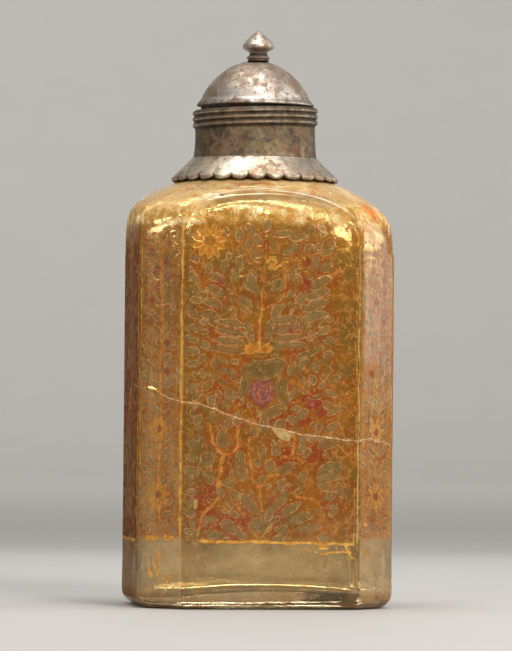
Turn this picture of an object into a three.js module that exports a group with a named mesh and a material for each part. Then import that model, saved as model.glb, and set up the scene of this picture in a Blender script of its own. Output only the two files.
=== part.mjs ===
// A lidded glass bottle: a mould-blown oblong bottle with cut corners, a metal neck mount with a
// scalloped skirt, and a domed lift-off lid with a turned knob.
// Millimetres, +Z up, the origin on the ground under the middle of the body.
import * as THREE from 'three';

// The glass body, an oblong whose four corners are cut at 45 degrees
const bodyWidth = 67;
const bodyDepth = 52;
const cornerCut = 10.5;
const sideWall = 2.2;
const footRound = 4;

// The underside is a flat standing band round a shallow hollow
const standingBand = 4;
const undersideHollow = 1.9;

// The floor inside is thinnest in the corners and rises towards the middle
const floorThickness = 2.4;
const floorRise = 3;
const innerFootRound = 2.6;

// The shoulder is a low dome about the neck's axis, and the upright faces cut it into arches
const shoulderStart = 93;
const shoulderRise = 20.2;
const shoulderSpare = 1.1;
const shoulderEase = 5;
const shoulderWall = 2.2;

// The glass neck, which was blown a little to one side
const neckRadius = 14.3;
const neckWall = 2.2;
const neckOffset = -1.3;

// The neck mount in sheet metal: a skirt on the shoulder, a collar and a band of reeds
const metal = 1;
const skirtRadius = 21.7;
const skirtRise = 6;
const skirtHem = 0.9;
const petals = 28;
const petalDepth = 1.2;
const petalSwell = 0.22;
const collarClearance = 0.3;
const collarHeight = 8.45;
const collarSpread = 0.7;
const reeds = 3;
const reedPitch = 1.55;
const reedProud = 0.75;
const bandLean = 1.7;

// The lid: a dome with a turned-out lip, and a sleeve that goes down into the collar
const lidRadius = 14.4;
const crownHeight = 11.15;
const crownPower = 1.42;
const lipFlare = 0.85;
const lipHeight = 0.75;
const lidMetal = 0.9;
const sleeveLength = 3.2;
const sleeveClearance = 0.4;

// The knob, soldered on a little off the middle of the lid
const knobHeight = 8.2;
const knobRadius = 4.15;
const knobOffset = 0.65;
const knobSeat = 3.5;

// Pieces that rest on each other keep this much between their faces
const seat = 0.3;

// How sharp the upright edges and the shoulder's arches are, outside and inside
const edgeSharpness = 70;
const innerEdgeSharpness = 34;
const archSharpness = 40;

// How finely the round shapes are divided
const footSteps = 3;
const shoulderSteps = 8;
const innerShoulderSteps = 6;
const petalSteps = 4;
const lidSegments = 32;
const knobSegments = 16;

const radians = THREE.MathUtils.degToRad;

// Sizes that follow from the ones above
const halfWidth = bodyWidth / 2;
const halfDepth = bodyDepth / 2;
const cutDistance = (halfWidth + halfDepth - cornerCut) / Math.SQRT2;
const cornerReach = Math.hypot(halfWidth, halfDepth - cornerCut);
const shoulderReach = cornerReach + shoulderSpare;
const collarBore = neckRadius + collarClearance;
const collarOuter = collarBore + metal;
const collarBase = collarOuter + collarSpread;
const bandRadius = collarOuter + reedProud;

// How high the shoulder's dome stands at a radius from the neck's axis
function shoulderHeight(radius) {
  return shoulderStart + shoulderRise * Math.sqrt(1 - (radius / shoulderReach) ** 2);
}

// How wide the lid's dome is at a share of its height, and the other way round
function crownRadius(radius, share) {
  return radius * Math.sqrt(1 - share ** crownPower);
}

function crownShare(radius, at) {
  return (1 - (at / radius) ** 2) ** (1 / crownPower);
}

// Heights that follow from how the pieces stack
const skirtFoot = shoulderHeight(skirtRadius - metal) + seat;
const collarFoot = skirtFoot + skirtRise;
const bandFoot = collarFoot + collarHeight;
const bandTop = bandFoot + reeds * reedPitch;
const bandLift = bandRadius * Math.tan(radians(bandLean));
const lidFoot = bandTop + bandLift + seat;
const neckLip = lidFoot - sleeveLength - seat;
const lidTop = lidFoot + lipHeight + crownHeight * crownShare(lidRadius, knobSeat);
const sleeveRadius = collarBore - sleeveClearance;

// The eight upright faces of the body, by their direction and distance from the middle
const faces = [halfWidth, cutDistance, halfDepth, cutDistance, halfWidth, cutDistance, halfDepth, cutDistance]
  .map((distance, k) => ({ angle: k * Math.PI / 4, distance }));

// Directions round one section of the body, closer together at its upright edges
function sectionAngles() {
  const quarter = Math.PI / 2;
  const first = Math.atan2(halfDepth - cornerCut, halfWidth);
  const second = Math.atan2(halfDepth, halfWidth - cornerCut);
  const besideEdge = [-3.2, -1, 1, 3.2].map(radians);
  const spread = (low, high, share) => low + (high - low) * share;
  const between = [
    spread(0, first, 0.45),
    ...besideEdge.map((step) => first + step),
    spread(first, second, 0.5),
    ...besideEdge.map((step) => second + step),
    spread(second, quarter, 0.36),
    spread(second, quarter, 0.68),
  ];
  const half = [0, ...between, quarter, ...between.map((angle) => Math.PI - angle).reverse()];
  return [...half, ...half.map((angle) => angle + Math.PI)];
}
const angles = sectionAngles();

// The smallest of several distances, rounded off where they meet
function softMin(distances, sharpness) {
  const sum = distances.reduce((total, distance) => total + distance ** -sharpness, 0);
  return sum ** (-1 / sharpness);
}

// One level section of the glass: the upright faces moved in by inset, cut by the dome's circle
function glassSection(z, inset, domeRadius, sharpness) {
  const middle = neckOffset * THREE.MathUtils.smoothstep(z, shoulderStart, shoulderHeight(neckRadius));
  const away = middle - neckOffset;
  return angles.map((angle) => {
    const flats = faces
      .map((face) => ({ face, turn: Math.cos(angle - face.angle) }))
      .filter(({ turn }) => turn > 0.05)
      .map(({ face, turn }) => (face.distance - inset - middle * Math.cos(face.angle)) / turn);
    const prism = softMin(flats, sharpness);
    const dome = Math.sqrt(domeRadius ** 2 - (away * Math.sin(angle)) ** 2) - away * Math.cos(angle);
    const r = softMin([prism, dome], archSharpness);
    return new THREE.Vector3(middle + r * Math.cos(angle), r * Math.sin(angle), z);
  });
}

// A section where only the upright faces count
function prismSection(z, inset, sharpness) {
  return glassSection(z, inset, shoulderReach * 3, sharpness);
}

// The sections of the shoulder up to the neck, moved into the glass by depth
function shoulderSections(depth, endRadius, steps, inset, sharpness) {
  const reach = shoulderReach - depth;
  const last = Math.acos(endRadius / reach);
  const sections = [];
  for (let i = 0; i <= steps; i += 1) {
    const turn = last * i / steps;
    const z = shoulderStart + (shoulderRise - depth) * Math.sin(turn);
    sections.push(glassSection(z, inset, reach * Math.cos(turn), sharpness));
  }
  return sections;
}

// A smaller copy of a ring of points, each point then lifted by a rule
function shrink(ring, share, lift = () => 0) {
  return ring.map((p) => new THREE.Vector3(p.x * share, p.y * share, p.z + lift(share)));
}

function undersideRings() {
  const outer = prismSection(0, footRound, edgeSharpness);
  const inner = prismSection(0, footRound + standingBand, edgeSharpness);
  const hollow = [0.35, 0.75].map((share) => shrink(inner, share, (s) => undersideHollow * (1 - s * s)));
  return [...hollow, inner, outer];
}

function footRings() {
  const rings = [];
  for (let i = 1; i <= footSteps; i += 1) {
    const turn = Math.PI / 2 * i / footSteps;
    const z = footRound * (1 - Math.cos(turn));
    rings.push(prismSection(z, footRound * (1 - Math.sin(turn)), edgeSharpness));
  }
  return rings;
}

// The floor inside: its rounded edge and then a rise towards the middle
function floorRings() {
  const rings = [];
  for (let i = 0; i <= footSteps; i += 1) {
    const turn = Math.PI / 2 * i / footSteps;
    const z = floorThickness + innerFootRound * (1 - Math.sin(turn));
    rings.push(prismSection(z, sideWall + innerFootRound * (1 - Math.cos(turn)), innerEdgeSharpness));
  }
  const edge = rings.at(-1);
  rings.push(shrink(edge, 0.66), shrink(edge, 0.33));
  for (const point of rings.flat()) {
    point.z += floorRise * (1 - (Math.hypot(point.x, point.y) / cornerReach) ** 2);
  }
  return rings;
}

// Joins rings of points, each as long as the others, into one closed surface.
// A loop of rings closes on itself, and otherwise the first and last rings close on a point.
function skin(rings, loop = false) {
  const count = rings[0].length;
  const points = rings.flat();
  const index = [];
  const bands = loop ? rings.length : rings.length - 1;
  for (let i = 0; i < bands; i += 1) {
    const low = i * count;
    const high = ((i + 1) % rings.length) * count;
    for (let j = 0; j < count; j += 1) {
      const next = (j + 1) % count;
      index.push(low + j, low + next, high + next, low + j, high + next, high + j);
    }
  }
  if (!loop) {
    const middleOf = (ring) => ring.reduce((sum, p) => sum.add(p), new THREE.Vector3()).divideScalar(count);
    const start = points.length;
    const top = (rings.length - 1) * count;
    points.push(middleOf(rings[0]), middleOf(rings.at(-1)));
    for (let j = 0; j < count; j += 1) {
      const next = (j + 1) % count;
      index.push(start, next, j, start + 1, top + j, top + next);
    }
  }
  const geometry = new THREE.BufferGeometry().setFromPoints(points);
  geometry.setIndex(index);
  geometry.computeVertexNormals();
  return geometry;
}

function glassBottle() {
  const bore = neckRadius - neckWall;
  const upright = prismSection(shoulderStart - shoulderEase, 0, edgeSharpness);
  const shoulder = shoulderSections(0, neckRadius, shoulderSteps, 0, edgeSharpness);
  const lip = [neckRadius, bore].map((radius) => glassSection(neckLip, 0, radius, edgeSharpness));
  const ceiling = shoulderSections(shoulderWall, bore, innerShoulderSteps, sideWall, innerEdgeSharpness);
  const innerUpright = prismSection(shoulderStart - shoulderEase, sideWall, innerEdgeSharpness);
  return skin([
    ...undersideRings(), ...footRings(), upright, ...shoulder, ...lip,
    ...ceiling.reverse(), innerUpright, ...floorRings(),
  ]);
}

// One ring of the neck mount. At scallop 1 it follows the petals' edge, and the band leans.
function mountRing(radius, z, scallop = 0) {
  const count = petals * petalSteps;
  const lean = Math.tan(radians(bandLean)) * THREE.MathUtils.smoothstep(z, collarFoot, bandFoot);
  const points = [];
  for (let i = 0; i < count; i += 1) {
    const angle = 2 * Math.PI * i / count;
    const lobe = Math.abs(Math.sin(angle * petals / 2)) ** 0.7;
    const cut = scallop * petalDepth * (1 - lobe) * Math.SQRT1_2;
    const r = radius - cut + scallop * petalSwell * (lobe - 0.5);
    const x = r * Math.cos(angle);
    points.push(new THREE.Vector3(x + neckOffset, r * Math.sin(angle), z + cut + x * lean));
  }
  return points;
}

// The outside of the mount, from the skirt's edge to the top of the band
function mountOutside() {
  const coneFoot = skirtFoot + skirtHem;
  const cone = [[1, 1], [0.7, 0.5], [0.35, 0.1], [0, 0]].map(([share, scallop]) => mountRing(
    collarBase + (skirtRadius - collarBase) * share,
    collarFoot - (collarFoot - coneFoot) * share,
    scallop,
  ));
  const collar = [0.12, 0.5, 1].map((share) => mountRing(
    collarOuter + collarSpread * (1 - share) ** 2,
    collarFoot + collarHeight * share,
  ));
  const band = [];
  for (let i = 0; i < reeds; i += 1) {
    const z = bandFoot + i * reedPitch;
    band.push(mountRing(bandRadius, z + reedPitch * 0.3), mountRing(bandRadius, z + reedPitch * 0.7));
    if (i < reeds - 1) band.push(mountRing(collarOuter + reedProud * 0.3, z + reedPitch));
  }
  return [mountRing(skirtRadius, skirtFoot, 1), ...cone, ...collar, ...band];
}

// The inside of the mount, from the mouth down to the skirt's edge
function mountInside() {
  const turn = collarFoot - metal * 0.4;
  return [
    mountRing(bandRadius - reedProud * 0.4, bandTop),
    mountRing(collarBore, bandTop),
    mountRing(collarBore, turn),
    mountRing(collarBase - metal * 0.6, turn - metal * 0.4),
    mountRing(skirtRadius - metal, skirtFoot, 1),
  ];
}

function neckMount() {
  return skin([...mountOutside(), ...mountInside()], true);
}

// Turns a profile of radius and height round the upright axis
function turned(profile, segments) {
  const points = profile.map(([radius, height]) => new THREE.Vector2(radius, height));
  return new THREE.LatheGeometry(points, segments).rotateX(Math.PI / 2);
}

function domedLid() {
  const sleeveBore = sleeveRadius - lidMetal;
  const top = crownShare(lidRadius, knobSeat);
  const shares = [0, 0.16, 0.34, 0.52, 0.68, 0.81, 0.91, 1].map((share) => share * top);
  const outside = shares.map((share) => [crownRadius(lidRadius, share), lipHeight + crownHeight * share]);
  const inside = shares
    .map((share) => [crownRadius(lidRadius - lidMetal, share), lipHeight + (crownHeight - lidMetal) * share])
    .filter(([radius]) => radius < sleeveBore)
    .reverse();
  return turned([
    [0, inside[0][1]],
    ...inside,
    [sleeveBore, 0],
    [sleeveBore, -sleeveLength],
    [sleeveRadius, -sleeveLength],
    [sleeveRadius, 0],
    [lidRadius + lipFlare, 0],
    [lidRadius + lipFlare, lipHeight * 0.5],
    ...outside,
    [0, outside.at(-1)[1]],
  ], lidSegments);
}

// The knob as shares of its radius and height: a foot, a bead, a waist and a pointed bud
function lidKnob() {
  const shape = [
    [0, 0], [0.65, 0], [0.65, 0.05], [0.74, 0.12], [0.59, 0.19], [0.57, 0.26], [0.73, 0.345],
    [0.94, 0.4], [1, 0.48], [0.92, 0.58], [0.73, 0.695], [0.5, 0.8], [0.24, 0.915], [0, 1],
  ];
  return turned(shape.map(([r, z]) => [r * knobRadius, z * knobHeight]), knobSegments);
}

const glass = new THREE.MeshStandardMaterial({
  color: 0xb58a45, roughness: 0.12, metalness: 0, transparent: true, opacity: 0.6,
});
const tarnishedSilver = new THREE.MeshStandardMaterial({ color: 0x857866, roughness: 0.45, metalness: 0.9 });
const wornSilver = new THREE.MeshStandardMaterial({ color: 0xa9a298, roughness: 0.32, metalness: 0.9 });

function piece(name, geometry, material, x = 0, z = 0) {
  const mesh = new THREE.Mesh(geometry, material);
  mesh.name = name;
  mesh.position.set(x, 0, z);
  return mesh;
}

const bottle = new THREE.Group();
bottle.add(
  piece('glass_bottle', glassBottle(), glass),
  piece('neck_mount', neckMount(), tarnishedSilver),
  piece('domed_lid', domedLid(), tarnishedSilver, neckOffset, lidFoot),
  piece('lid_knob', lidKnob(), wornSilver, neckOffset + knobOffset, lidTop + seat),
);

export default bottle;
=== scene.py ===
import math
import bpy
import numpy as np
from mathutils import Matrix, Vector


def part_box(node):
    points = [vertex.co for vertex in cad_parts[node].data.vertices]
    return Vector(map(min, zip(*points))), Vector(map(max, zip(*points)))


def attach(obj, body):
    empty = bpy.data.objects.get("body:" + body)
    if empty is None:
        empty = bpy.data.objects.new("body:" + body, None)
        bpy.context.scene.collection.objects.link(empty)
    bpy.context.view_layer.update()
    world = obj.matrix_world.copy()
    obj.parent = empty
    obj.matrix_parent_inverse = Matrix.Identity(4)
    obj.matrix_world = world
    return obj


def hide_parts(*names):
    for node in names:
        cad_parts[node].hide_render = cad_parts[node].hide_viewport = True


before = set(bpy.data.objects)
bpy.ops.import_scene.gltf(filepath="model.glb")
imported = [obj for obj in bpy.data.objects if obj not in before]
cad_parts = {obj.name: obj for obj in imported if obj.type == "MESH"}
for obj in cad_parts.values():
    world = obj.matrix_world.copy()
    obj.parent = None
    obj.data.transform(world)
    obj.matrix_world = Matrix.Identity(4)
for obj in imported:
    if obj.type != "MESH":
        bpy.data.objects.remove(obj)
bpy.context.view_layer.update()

# Lengths are in millimetres until a mesh is made, with the frame's origin and axes
METRE = 0.001


def node_box(name):
    low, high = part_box(name)
    return np.array(low) / METRE, np.array(high) / METRE


glass_high = node_box("glass_bottle")[1]
mount_low = node_box("neck_mount")[0]
lid_low, lid_high = node_box("domed_lid")
knob_low, knob_high = node_box("lid_knob")

# The body's section, read from the frame, and the cut of its corners
half_width = glass_high[0]
half_depth = glass_high[1]
corner_cut = 10.5
foot_round = 4.0
side_wall = 2.2
# How sharply the faces meet outside and inside, and where they run into the shoulder: higher is sharper
edge_sharpness = 70
inner_edge_sharpness = 34
arch_sharpness = 40

# The underside and the floor inside
standing_band = 4.0
underside_hollow = 1.9
floor_thickness = 2.4
floor_rise = 3.0
inner_foot_round = 2.6

# The shoulder and the neck
shoulder_start = 93.0
shoulder_rise = 20.2
shoulder_spare = 1.1
shoulder_wall = 2.2
neck_radius = 14.3
neck_wall = 2.2
neck_axis = (lid_low[0] + lid_high[0]) / 2
neck_lip = glass_high[2]

# The neck mount
sheet = 1.0
skirt_radius = 21.7
skirt_foot = mount_low[2]
skirt_rise = 6.0
skirt_hem = 0.9
petals = 28
petal_depth = 1.2
petal_swell = 0.22
collar_bore = neck_radius + 0.3
collar_outer = collar_bore + sheet
collar_spread = 0.7
collar_height = 8.45
reeds = 3
reed_pitch = 1.55
reed_proud = 0.75
band_lean = math.tan(math.radians(1.7))

# The lid and its knob
lid_radius = 14.4
crown_height = 11.15
crown_power = 1.42
lip_flare = 0.85
flare_height = 0.45
lip_height = 0.75
lid_sheet = 0.9
sleeve_length = 3.2
sleeve_radius = collar_bore - 0.4
knob_seat = 3.5

# How finely the meshes are divided
columns_on_face = {0: 32, 1: 15, 2: 46, 3: 15, 4: 40, 5: 30, 6: 92, 7: 30}
wall_row = 0.47
shoulder_rows = 60


def eased(value, low, high):
    """Goes smoothly from 0 at low to 1 at high, whichever of them is larger."""
    share = np.clip((value - low) / (high - low), 0, 1)
    return share * share * (3 - 2 * share)


def ripple(points, wavelength, seed, waves=7):
    """A smooth wandering value from about -1 to 1 at each point, with bumps about a wavelength across."""
    rng = np.random.default_rng(seed)
    total = np.zeros(len(points))
    for _ in range(waves):
        way = rng.normal(size=3)
        way /= np.linalg.norm(way)
        length = wavelength * rng.uniform(0.7, 1.4)
        total += np.sin(points @ way * (2 * math.pi / length) + rng.uniform(0, 2 * math.pi))
    return total / waves * 1.6


def ripples(points, *sizes):
    """Slow and quick ripples together, each given by its height, its wavelength and its seed."""
    return sum(height * ripple(points, wavelength, seed) for height, wavelength, seed in sizes)


def mesh_object(name, points, faces, smooth=True):
    mesh = bpy.data.meshes.new(name)
    mesh.from_pydata((np.asarray(points) * METRE).tolist(), [], faces)
    mesh.update()
    mesh.shade_smooth() if smooth else mesh.shade_flat()
    made = bpy.data.objects.new(name, mesh)
    bpy.context.scene.collection.objects.link(made)
    return made


def skin_faces(rings, count, loop):
    """The faces that join rings of count points into one closed surface, facing out."""
    faces = []
    for i in range(rings if loop else rings - 1):
        low, high = i * count, (i + 1) % rings * count
        for j in range(count):
            k = (j + 1) % count
            faces.append((low + j, low + k, high + k, high + j))
    if not loop:
        start, top = rings * count, (rings - 1) * count
        for j in range(count):
            k = (j + 1) % count
            faces += [(start, k, j), (start + 1, top + j, top + k)]
    return faces


def skin(rings, loop=False):
    """Points and faces of one closed surface through rings of points."""
    points = np.concatenate(rings)
    if not loop:
        points = np.concatenate([points, [rings[0].mean(axis=0)], [rings[-1].mean(axis=0)]])
    return points, skin_faces(len(rings), len(rings[0]), loop)


# The glass body

cut_distance = (half_width + half_depth - corner_cut) / math.sqrt(2)
corner_reach = math.hypot(half_width, half_depth - corner_cut)
shoulder_reach = corner_reach + shoulder_spare


class Face:
    """One upright face: its direction, its distance from the middle, and how far it runs each way."""

    def __init__(self, k):
        self.angle = k * math.pi / 4
        self.out = np.array([math.cos(self.angle), math.sin(self.angle)])
        self.along = np.array([-math.sin(self.angle), math.cos(self.angle)])
        self.distance = (half_width, cut_distance, half_depth, cut_distance)[k % 4]
        self.middle = 0.0
        if k % 2:
            self.half = corner_cut / math.sqrt(2)
            middle = np.sign(self.out) * [half_width - corner_cut / 2, half_depth - corner_cut / 2]
            self.middle = middle @ self.along
        else:
            self.half = (half_depth if k % 4 == 0 else half_width) - corner_cut


body_faces = [Face(k) for k in range(8)]
RIGHT, RIGHT_BACK_CUT, BACK, LEFT_BACK_CUT, LEFT, LEFT_CUT, FRONT, RIGHT_CUT = range(8)


def column_angles():
    angles = []
    for k, face in enumerate(body_faces):
        count = columns_on_face[k]
        for i in range(count):
            at = face.middle + face.half * (2 * i / count - 1)
            place = face.out * face.distance + face.along * at
            angles.append(math.atan2(place[1], place[0]) % (2 * math.pi))
    return np.array(sorted(angles))


angles = column_angles()


def soft_min(distances, sharpness):
    least = distances.min(axis=0)
    return least * ((distances / least) ** -sharpness).sum(axis=0) ** (-1 / sharpness)


def glass_section(z, inset, dome_radius, sharpness):
    middle = neck_axis * float(eased(z, shoulder_start, shoulder_start + shoulder_rise * 0.92))
    away = middle - neck_axis
    flats = []
    for face in body_faces:
        turn = np.cos(angles - face.angle)
        reach = (face.distance - inset - middle * face.out[0]) / np.maximum(turn, 0.05)
        flats.append(np.where(turn > 0.05, reach, 1e4))
    prism = soft_min(np.array(flats), sharpness)
    dome = np.sqrt(dome_radius ** 2 - (away * np.sin(angles)) ** 2) - away * np.cos(angles)
    r = soft_min(np.array([prism, dome]), arch_sharpness)
    return np.stack([middle + r * np.cos(angles), r * np.sin(angles), np.full(len(angles), z)], axis=1)


def prism_section(z, inset, sharpness):
    return glass_section(z, inset, shoulder_reach * 3, sharpness)


def shoulder_sections(depth, end_radius, steps, inset, sharpness):
    reach = shoulder_reach - depth
    last = math.acos(end_radius / reach)
    sections = []
    for i in range(steps + 1):
        turn = last * i / steps
        z = shoulder_start + (shoulder_rise - depth) * math.sin(turn)
        sections.append(glass_section(z, inset, reach * math.cos(turn), sharpness))
    return sections


def shrunk(ring, share, lift=0.0):
    return ring * [share, share, 1] + [0, 0, lift]


def underside_rings():
    """The hollow with the scar of the blower's iron in it, and the flat standing band."""
    scar_share, scar_width, scar_height = 0.28, 0.05, 0.35
    inner = prism_section(0, foot_round + standing_band, edge_sharpness)
    rings = []
    for share in (0.06, 0.16, 0.22, 0.26, 0.29, 0.33, 0.4, 0.55, 0.7, 0.84, 0.94):
        scar = scar_height * math.exp(-((share - scar_share) / scar_width) ** 2)
        rings.append(shrunk(inner, share, underside_hollow * (1 - share * share) - scar))
    return [*rings, inner, prism_section(0, foot_round, edge_sharpness)]


def foot_rings(steps=8):
    turns = [math.pi / 2 * i / steps for i in range(1, steps + 1)]
    return [prism_section(foot_round * (1 - math.cos(t)), foot_round * (1 - math.sin(t)), edge_sharpness)
            for t in turns]


def floor_rings(steps=6):
    rings = []
    for i in range(steps + 1):
        turn = math.pi / 2 * i / steps
        z = floor_thickness + inner_foot_round * (1 - math.sin(turn))
        inset = side_wall + inner_foot_round * (1 - math.cos(turn))
        rings.append(prism_section(z, inset, inner_edge_sharpness))
    rings += [shrunk(rings[-1], share) for share in (0.85, 0.66, 0.45, 0.25, 0.1)]
    for ring in rings:
        ring[:, 2] += floor_rise * (1 - (np.hypot(ring[:, 0], ring[:, 1]) / corner_reach) ** 2)
    return rings


def lip_rings():
    """The fire-polished lip, hidden in the collar."""
    bore = neck_radius - neck_wall
    middle, round_ = (neck_radius + bore) / 2, neck_wall / 2
    rings = []
    for i in range(7):
        turn = math.pi * i / 6
        radius = middle + round_ * math.cos(turn)
        rings.append(glass_section(neck_lip - round_ + round_ * math.sin(turn), 0, radius, edge_sharpness))
    return rings


def glass_rings():
    """The rings of the outside and then of the inside, and how many of them are outside."""
    bore = neck_radius - neck_wall
    walls = np.arange(foot_round + wall_row, shoulder_start - 4, wall_row)
    upright = [prism_section(z, 0, edge_sharpness) for z in walls]
    eases = []
    for z in np.arange(walls[-1] + wall_row, shoulder_start, wall_row):
        share = float(eased(z, shoulder_start - 5, shoulder_start))
        dome = shoulder_reach * (1 + 2 * (1 - share) ** 3)
        eases.append(glass_section(z, 0, dome, edge_sharpness))
    shoulder = shoulder_sections(0, neck_radius, shoulder_rows, 0, edge_sharpness)
    outside = [*underside_rings(), *foot_rings(), *upright, *eases, *shoulder, *lip_rings()]
    ceiling = shoulder_sections(shoulder_wall, bore, 16, side_wall, inner_edge_sharpness)
    inner_wall = [prism_section(z, side_wall, inner_edge_sharpness) for z in np.linspace(88, 14, 14)]
    inside = [*ceiling[::-1], *inner_wall, *floor_rings()]
    return outside, inside


# The painting on the glass

FAR = 9.0
# What the painting says at each point of the glass, and what it says where nothing is painted
FIELDS = {"leaf": FAR, "stem": FAR, "bloom": FAR, "star": FAR, "line": FAR, "panel": FAR, "tone": 0.5,
          "purple": 0.0, "flush": 0.0, "olive": 0.0, "warm": 1.0, "loss": FAR}


class Painting:
    """Distances in millimetres from points on one face to the figures painted there, less than 0 inside.

    A place is given by u, along the face from its middle, and v, the height.
    """

    def __init__(self, u, v, seed):
        # The brush strays a little from every line
        place = np.stack([u, v, np.full(u.shape, seed * 31.0)], axis=1)
        self.u = u + ripples(place, (0.35, 6.0, seed), (0.17, 2.0, seed + 1))
        self.v = v + ripples(place, (0.35, 6.0, seed + 2), (0.17, 2.0, seed + 3))
        for name, start in FIELDS.items():
            setattr(self, name, np.full(u.shape, start))

    def nearer(self, name, distance):
        setattr(self, name, np.minimum(getattr(self, name), distance))

    def leaf_distance(self, at, angle, length, width, bend=0.0):
        """The distance to a pointed leaf whose middle is at a place, bent along its length."""
        turn = math.radians(angle)
        x = (self.u - at[0]) * math.cos(turn) + (self.v - at[1]) * math.sin(turn)
        y = (self.v - at[1]) * math.cos(turn) - (self.u - at[0]) * math.sin(turn)
        half = length / 2
        y = y + bend * (x / half) ** 2 - bend / 2
        share = np.clip(np.abs(x) / half, 0, 1)
        edge = width / 2 * (1 - share ** 2.4) ** 0.75
        past = np.maximum(np.abs(x) - half, 0)
        near = np.hypot(np.abs(y) - edge * (past == 0), past)
        inside = (past == 0) & (np.abs(y) < edge)
        return np.where(inside, np.abs(y) - edge, near) * 0.92

    def add_leaf(self, at, angle, length, width, bend=0.0, tone=0.5):
        distance = self.leaf_distance(at, angle, length, width, bend)
        self.tone = np.where(distance < self.leaf, tone, self.tone)
        self.nearer("leaf", distance)

    def add_leaves(self, leaves, rng=None, most_bend=0.3):
        """Leaves given by place, angle, length, width, bend and tone, the last two random where missing."""
        for u, v, angle, length, width, *rest in leaves:
            bend, tone = rest or (rng.uniform(-most_bend, most_bend), rng.random())
            self.add_leaf((u, v), angle, length, width, bend, tone)

    def add_line(self, start, end, width, name="line"):
        dx, dy = end[0] - start[0], end[1] - start[1]
        share = ((self.u - start[0]) * dx + (self.v - start[1]) * dy) / (dx * dx + dy * dy + 1e-9)
        share = np.clip(share, 0, 1)
        away = np.hypot(self.u - start[0] - share * dx, self.v - start[1] - share * dy)
        self.nearer(name, away - width / 2)

    def add_lines(self, lines):
        """Straight gold strokes, each given by its two ends and its width."""
        for u0, v0, u1, v1, width in lines:
            self.add_line((u0, v0), (u1, v1), width)

    def add_stem(self, points, width=0.8):
        """A stem through a few points, rounded between them."""
        path = curve_through(points)
        for start, end in zip(path, path[1:]):
            self.add_line(start, end, width, "stem")

    def add_stems(self, stems):
        for width, *points in stems:
            self.add_stem(points, width)

    def add_bloom(self, at, radius, count=9, depth=0.25, turn=0.0, purple=0.0):
        """A round flower with a scalloped edge, red or purple."""
        r = np.hypot(self.u - at[0], self.v - at[1])
        around = np.arctan2(self.v - at[1], self.u - at[0])
        edge = radius * (1 - depth * (1 - np.abs(np.cos(count * around / 2 + turn))))
        self.purple = np.where(r - edge < self.bloom, purple, self.purple)
        self.nearer("bloom", r - edge)

    def add_petal(self, at, angle, length, width):
        """A leaf's shape in the colour of the petals."""
        self.nearer("star", self.leaf_distance(at, angle, length, width))

    def add_star(self, at, radius, count=10, width=1.2, turn=0.0):
        """A flower of narrow petals round an open middle."""
        middle = radius * 0.66
        for i in range(count):
            angle = turn + 360 * i / count
            way = math.radians(angle)
            place = (at[0] + middle * math.cos(way), at[1] + middle * math.sin(way))
            self.add_petal(place, angle, radius * 0.68, width)

    def add_panel(self, left, right, bottom, top):
        """The painted ground."""
        dx = np.abs(self.u - (left + right) / 2) - (right - left) / 2
        dy = np.abs(self.v - (bottom + top) / 2) - (top - bottom) / 2
        outside = np.hypot(np.maximum(dx, 0), np.maximum(dy, 0))
        self.nearer("panel", np.where((dx < 0) & (dy < 0), np.maximum(dx, dy), outside))

    def add_stains(self, name, stains):
        """Soft patches of the ground, each given by its middle, its reach along u and v, and its strength.

        Flush is red. Olive is green-brown, and the ground is plain orange-brown where olive is -1.
        """
        for u, v, wide, high, strength in stains:
            gap = ((self.u - u) / wide) ** 2 + ((self.v - v) / high) ** 2
            setattr(self, name, np.maximum(getattr(self, name), strength * np.exp(-gap)))

    def add_losses(self, places):
        """Places where the paint has flaked off, each inside some corners that are given clockwise."""
        for corners in places:
            far = np.full(self.u.shape, -FAR)
            for (x0, y0), (x1, y1) in zip(corners, corners[1:] + corners[:1]):
                length = math.hypot(x1 - x0, y1 - y0)
                far = np.maximum(far, ((self.v - y0) * (x1 - x0) - (self.u - x0) * (y1 - y0)) / length)
            self.nearer("loss", far)

    def room(self, at):
        """The clear distance round a place to the nearest figure."""
        i = np.argmin((self.u - at[0]) ** 2 + (self.v - at[1]) ** 2)
        return min(self.leaf[i], self.stem[i], self.bloom[i], self.star[i])

    def fill(self, left, right, bottom, top, spacing, heading, rng, widest=2.0, chance=1.0):
        """Small leaves wherever the larger figures leave room, each turned as heading says for its place."""
        for v in np.arange(bottom, top, spacing * 0.86):
            for u in np.arange(left, right, spacing):
                at = (u + rng.uniform(-0.4, 0.4) * spacing, v + rng.uniform(-0.4, 0.4) * spacing)
                room = self.room(at)
                if room < 0.75 or rng.random() > chance:
                    continue
                width = min(widest, (room - 0.25) * 1.7) * rng.uniform(0.8, 1.0)
                length = width * rng.uniform(1.35, 2.3)
                angle = math.degrees(heading(*at)) + rng.uniform(-25, 25)
                self.add_leaf(at, angle, length, width, rng.uniform(-0.2, 0.2), rng.random())


def curve_through(points, steps=7):
    """Points along a smooth curve through the given ones."""
    if len(points) < 3:
        return [tuple(p) for p in points]
    p = np.array([2 * np.array(points[0]) - points[1], *points, 2 * np.array(points[-1]) - points[-2]], float)
    path = []
    for i in range(1, len(p) - 2):
        for t in np.linspace(0, 1, steps, endpoint=False):
            a = 2 * p[i]
            b = p[i + 1] - p[i - 1]
            c = 2 * p[i - 1] - 5 * p[i] + 4 * p[i + 1] - p[i + 2]
            d = -p[i - 1] + 3 * p[i] - 3 * p[i + 1] + p[i + 2]
            path.append(tuple((a + b * t + c * t * t + d * t ** 3) / 2))
    path.append(tuple(p[-2]))
    return path


def along_stem(points, share):
    """The place at a share of a stem's length, and the direction there in degrees."""
    path = np.array(curve_through(points))
    i = min(int(share * (len(path) - 1)), len(path) - 2)
    step = path[i + 1] - path[i]
    return path[i], math.degrees(math.atan2(step[1], step[0]))


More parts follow.
